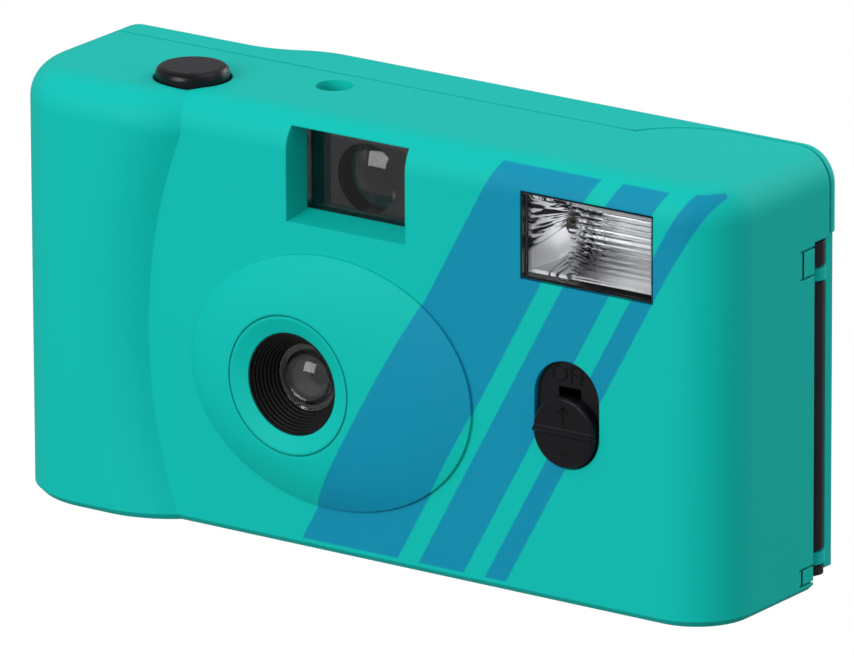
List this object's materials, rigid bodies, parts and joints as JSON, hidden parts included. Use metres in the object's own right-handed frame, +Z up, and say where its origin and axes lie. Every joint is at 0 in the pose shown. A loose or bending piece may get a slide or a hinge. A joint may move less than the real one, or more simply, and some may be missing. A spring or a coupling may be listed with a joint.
{
  "type": "compact film camera",
  "caption": "Compact 35 mm film camera with a moulded grip, fixed lens in an oval boss, built-in flash with its switch, and a hinged film door.",
  "frame": {"origin": "centre of the bounding box in plan, at the flat base", "axes": "+X from the grip towards the hinge side (to the right as the front is looked at), +Y from the lens towards the film door, +Z up"},
  "size_m": [0.118, 0.0336, 0.0632],
  "materials": {
    "advance_wheel": "ribbed edge",
    "aperture_plate": "matt",
    "battery": "plain sleeve",
    "battery_contacts": "plated strip",
    "battery_door": "fine grain",
    "button_guide": "moulded",
    "button_spring": "wire",
    "cassette_chamber": "matt moulded",
    "chassis_screws": "blackened steel",
    "circuit_board": "brown laminate",
    "counter_dial": "pale with dark marks",
    "counter_post": "moulded",
    "crank_arm": "fine grain",
    "door_latch": "ribbed",
    "film_door": "soft matte moulded plastic",
    "film_sprocket": "moulded",
    "finder_eyepiece": "clear moulded",
    "finder_front_lens": "clear moulded",
    "finder_tunnel": "moulded gloss",
    "flash_capacitor": "sleeved can",
    "flash_reflector": "bright foil",
    "flash_tube": "clear tube",
    "flash_window": "ribbed clear plastic",
    "front_lens": "moulded clear plastic",
    "front_shell": "soft matte moulded plastic",
    "hinge_pin": "drawn wire",
    "hinge_post": "fine grain",
    "lens_barrel": "matt, ringed",
    "lens_trim_ring": "soft matte moulded plastic",
    "lever_post": "moulded",
    "light_box": "matt moulded",
    "plate_springs": "sprung strip",
    "pressure_plate": "black satin",
    "ready_lamp": "tinted clear",
    "rear_cover": "soft matte moulded plastic",
    "release_lever": "slippery pale plastic",
    "release_pin": "fine grain",
    "rewind_knob": "fine grain",
    "shutter_blade": "blackened",
    "shutter_button": "satin",
    "shutter_plate": "matt",
    "switch_knob": "satin",
    "switch_plate": "fine grain",
    "take_up_frame": "matt moulded",
    "take_up_spool": "moulded",
    "trigger_coil": "lacquered wire",
    "tube_sleeves": "pale silicone"
  },
  "bodies": {
    "housing": {"aperture_plate": "aperture_plate", "battery": "battery", "battery_contacts": "battery_contacts", "button_guide": "button_guide", "button_spring": "button_spring", "cassette_chamber": "cassette_chamber", "chassis_screws": "chassis_screws", "circuit_board": "circuit_board", "counter_post": "counter_post", "finder_eyepiece": "finder_eyepiece", "finder_front_lens": "finder_front_lens", "finder_tunnel": "finder_tunnel", "flash_capacitor": "flash_capacitor", "flash_reflector": "flash_reflector", "flash_tube": "flash_tube", "flash_window": "flash_window", "front_lens": "front_lens", "front_shell": "front_shell", "hinge_pin": "hinge_pin", "hinge_post": "hinge_post", "lens_barrel": "lens_barrel", "lens_trim_ring": "lens_trim_ring", "lever_post": "lever_post", "light_box": "light_box", "ready_lamp": "ready_lamp", "rear_cover": "rear_cover", "shutter_plate": "shutter_plate", "switch_plate": "switch_plate", "take_up_frame": "take_up_frame", "trigger_coil": "trigger_coil", "tube_sleeves": "tube_sleeves"},
    "door": {"film_door": "film_door", "pressure_plate": "pressure_plate", "plate_springs": "plate_springs"},
    "blade": {"shutter_blade": "shutter_blade"},
    "flash_switch": {"switch_knob": "switch_knob"},
    "button": {"shutter_button": "shutter_button"},
    "lever": {"release_lever": "release_lever"},
    "dial": {"counter_dial": "counter_dial"},
    "spool": {"take_up_spool": "take_up_spool", "advance_wheel": "advance_wheel"},
    "sprocket": {"film_sprocket": "film_sprocket"},
    "rewind": {"rewind_knob": "rewind_knob"},
    "crank": {"crank_arm": "crank_arm"},
    "rewind_release": {"release_pin": "release_pin"},
    "latch": {"door_latch": "door_latch"},
    "battery_lid": {"battery_door": "battery_door"}
  },
  "joints": [
    {"name": "door_hinge", "type": "hinge", "parent": "housing", "child": "door", "pos_m": [0.0571, 0.01305, 0.024], "axis": [0, 0, -1], "range_deg": [0, 110]},
    {"name": "latch_slide", "type": "slide", "parent": "housing", "child": "latch", "axis": [0, 0, -1], "range_m": [0, 0.003], "stiffness_N_per_m": 150, "springref_m": -0.001},
    {"name": "button_press", "type": "slide", "parent": "housing", "child": "button", "axis": [0, 0, -1], "range_m": [0, 0.0012], "stiffness_N_per_m": 600, "springref_m": -0.001, "deforming": ["button_spring"]},
    {"name": "lever_rock", "type": "hinge", "parent": "housing", "child": "lever", "pos_m": [-0.021, -0.00535, 0.0464], "axis": [0, -1, 0], "range_deg": [0, 4.9]},
    {"name": "blade_swing", "type": "hinge", "parent": "housing", "child": "blade", "pos_m": [-0.0048, -0.0085, 0.0279], "axis": [0, -1, 0], "range_deg": [0, 42]},
    {"name": "flash_switch_slide", "type": "slide", "parent": "housing", "child": "flash_switch", "axis": [0, 0, 1], "range_m": [0, 0.0046]},
    {"name": "spool_spin", "type": "hinge", "parent": "housing", "child": "spool", "pos_m": [-0.0452, 0.00395, 0.025], "axis": [0, 0, 1], "continuous": true},
    {"name": "sprocket_spin", "type": "hinge", "parent": "housing", "child": "sprocket", "pos_m": [-0.0334, 0.00575, 0.025], "axis": [0, 0, 1], "continuous": true},
    {"name": "dial_spin", "type": "hinge", "parent": "housing", "child": "dial", "pos_m": [-0.0214, 0.00225, 0.0573], "axis": [0, 0, 1], "continuous": true},
    {"name": "rewind_spin", "type": "hinge", "parent": "housing", "child": "rewind", "pos_m": [0.0239, 0.00225, 0.003], "axis": [0, 0, -1], "continuous": true},
    {"name": "crank_fold", "type": "hinge", "parent": "rewind", "child": "crank", "pos_m": [0.018, 0.00225, 0.0008], "axis": [0, 1, 0], "range_deg": [0, 110]},
    {"name": "rewind_release_press", "type": "slide", "parent": "housing", "child": "rewind_release", "axis": [0, 0, 1], "range_m": [0, 0.0009], "stiffness_N_per_m": 400, "springref_m": -0.001},
    {"name": "battery_lid_hinge", "type": "hinge", "parent": "housing", "child": "battery_lid", "pos_m": [0.04355, 0.00235, 0.00085], "axis": [0, 1, 0], "range_deg": [0, 100]}
  ],
  "couplings": [
    {"joint": "lever_rock", "follows": "button_press", "rad_per_m": 70},
    {"joint": "blade_swing", "follows": "button_press", "rad_per_m": 610},
    {"joint": "dial_spin", "follows": "sprocket_spin", "ratio": -0.027778}
  ]
}
